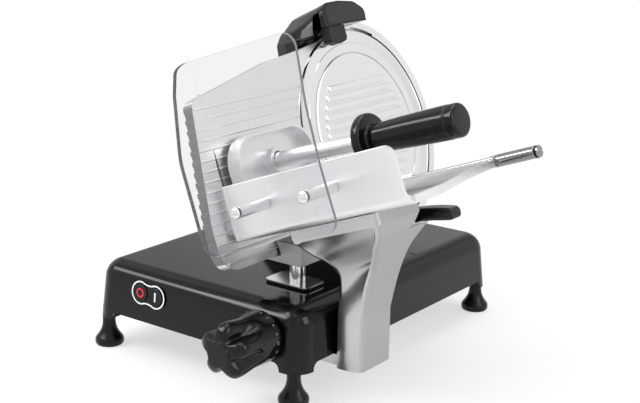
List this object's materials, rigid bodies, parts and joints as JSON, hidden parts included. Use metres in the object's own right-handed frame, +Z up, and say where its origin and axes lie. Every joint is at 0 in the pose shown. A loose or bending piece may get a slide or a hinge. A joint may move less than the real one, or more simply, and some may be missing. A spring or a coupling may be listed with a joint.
{
  "type": "electric food slicer",
  "caption": "Gravity-feed electric food slicer with a leaning round blade, gauge plate, sliding food tray with clear guard, pusher, sharpener and thickness knob.",
  "frame": {"origin": "middle of the whole object's box, on the surface it stands on", "axes": "+X towards the food tray's side, -Y towards the operator's control side, +Z up; the blade's plane leans back 20.5 degrees"},
  "size_m": [0.4698, 0.5062, 0.4136],
  "materials": {
    "black_paint": "smooth gloss black paint",
    "black_plastic": "moulded black, satin to gloss",
    "cast_aluminium": "polished casting",
    "anodised_aluminium": "satin anodised",
    "polished_steel": "polished",
    "dark_metal": "dark machined",
    "black_rubber": "matt",
    "clear_plastic": "clear sheet",
    "brass": "turned",
    "control_box": "moulded",
    "capacitor": "smooth can",
    "grey_plastic": "moulded dark grey",
    "grinding_stone": "fine abrasive"
  },
  "bodies": {
    "frame": {"base_housing": "black_paint", "bottom_cover": "black_plastic", "foot_front_left": "black_rubber", "foot_front_right": "black_rubber", "foot_back_left": "black_rubber", "foot_back_right": "black_rubber", "switch_panel": "black_plastic", "switch_box": "black_plastic", "control_box": "control_box", "run_capacitor": "capacitor", "cord_inlet": "black_plastic", "blade_support": "cast_aluminium", "bearing_front": "polished_steel", "bearing_rear": "polished_steel", "blade_cover": "anodised_aluminium", "motor_plate": "polished_steel", "motor": "cast_aluminium", "motor_housing": "black_paint", "drive_belt": "black_rubber", "knob_bush": "brass", "gauge_rod": "polished_steel", "carriage_guide": "polished_steel"},
    "blade_rotor": {"blade": "polished_steel", "blade_shaft": "polished_steel", "blade_pulley": "dark_metal"},
    "motor_rotor": {"motor_pulley": "polished_steel"},
    "cover_lock": {"cover_tie_rod": "black_plastic"},
    "stop": {"stop_button": "black_plastic"},
    "start": {"start_button": "black_plastic"},
    "knob": {"thickness_knob": "black_plastic", "knob_shaft": "polished_steel", "gauge_cam": "polished_steel"},
    "gauge": {"gauge_plate": "cast_aluminium", "gauge_bracket": "dark_metal", "gauge_post": "polished_steel", "slot_cover": "polished_steel", "slot_gasket": "black_rubber", "gauge_slide": "dark_metal"},
    "carriage": {"carriage_column": "cast_aluminium", "carriage_slider": "dark_metal", "slider_bush": "brass", "tray": "anodised_aluminium", "clear_guard": "clear_plastic", "standoff_left": "polished_steel", "standoff_right": "polished_steel", "guard_screw_left": "polished_steel", "guard_screw_right": "polished_steel", "lever_pin": "polished_steel", "pusher_rod": "polished_steel", "rod_ring": "black_rubber"},
    "lever": {"release_lever": "black_plastic"},
    "pusher_carrier": {"pusher_sleeve": "anodised_aluminium"},
    "pusher": {"pusher_plate": "anodised_aluminium", "pusher_tube": "anodised_aluminium", "pusher_handle": "black_plastic"},
    "sharpener": {"sharpener_body": "black_plastic"},
    "finger": {"sharpener_finger": "grey_plastic", "honing_stone": "grinding_stone"},
    "stone": {"grinding_stone": "grinding_stone"}
  },
  "joints": [
    {"name": "blade_spin", "type": "hinge", "parent": "frame", "child": "blade_rotor", "pos_m": [-0.03851, 0.11485, 0.244], "axis": [0.9367, 0, 0.3502], "continuous": true},
    {"name": "motor_pulley_spin", "type": "hinge", "parent": "frame", "child": "motor_rotor", "pos_m": [-0.00524, 0.11485, 0.15502], "axis": [0.9367, 0, 0.3502], "continuous": true},
    {"name": "cover_lock_turn", "type": "hinge", "parent": "frame", "child": "cover_lock", "pos_m": [-0.03851, 0.11485, 0.244], "axis": [0.9367, 0, 0.3502], "range_deg": [0, 360]},
    {"name": "stop_press", "type": "slide", "parent": "frame", "child": "stop", "axis": [0, 0.9964, -0.0848], "range_m": [0, 0.002], "stiffness_N_per_m": 400, "springref_m": -0.002},
    {"name": "start_press", "type": "slide", "parent": "frame", "child": "start", "axis": [0, 0.9964, -0.0848], "range_m": [0, 0.002], "stiffness_N_per_m": 400, "springref_m": -0.002},
    {"name": "knob_turn", "type": "hinge", "parent": "frame", "child": "knob", "pos_m": [0.02529, -0.17075, 0.072], "axis": [0, 1, 0], "range_deg": [0, 300]},
    {"name": "gauge_travel", "type": "slide", "parent": "frame", "child": "gauge", "axis": [-1, 0, 0], "range_m": [0, 0.014]},
    {"name": "carriage_travel", "type": "slide", "parent": "frame", "child": "carriage", "axis": [0, 1, 0], "range_m": [0, 0.24]},
    {"name": "lever_turn", "type": "hinge", "parent": "carriage", "child": "lever", "pos_m": [0.11606, -0.06375, 0.21606], "axis": [-0.3502, 0, 0.9367], "range_deg": [0, 70]},
    {"name": "pusher_travel", "type": "slide", "parent": "carriage", "child": "pusher_carrier", "axis": [0.9367, 0, 0.3502], "range_m": [0, 0.105]},
    {"name": "pusher_swing", "type": "hinge", "parent": "pusher_carrier", "child": "pusher", "pos_m": [-0.01242, 0.09875, 0.17422], "axis": [-0.9367, 0, -0.3502], "range_deg": [0, 40]},
    {"name": "sharpener_lift", "type": "slide", "parent": "frame", "child": "sharpener", "axis": [-0.3502, 0, 0.9367], "range_m": [0, 0.04]},
    {"name": "finger_press", "type": "slide", "parent": "sharpener", "child": "finger", "axis": [-0.9367, 0, -0.3502], "range_m": [0, 0.0015], "stiffness_N_per_m": 400, "springref_m": -0.002},
    {"name": "stone_press", "type": "slide", "parent": "sharpener", "child": "stone", "axis": [0.9367, 0, 0.3502], "range_m": [0, 0.003], "stiffness_N_per_m": 400, "springref_m": -0.002}
  ],
  "couplings": [
    {"joint": "motor_pulley_spin", "follows": "blade_spin", "ratio": 3.75},
    {"joint": "knob_turn", "follows": "gauge_travel", "rad_per_m": 374}
  ]
}
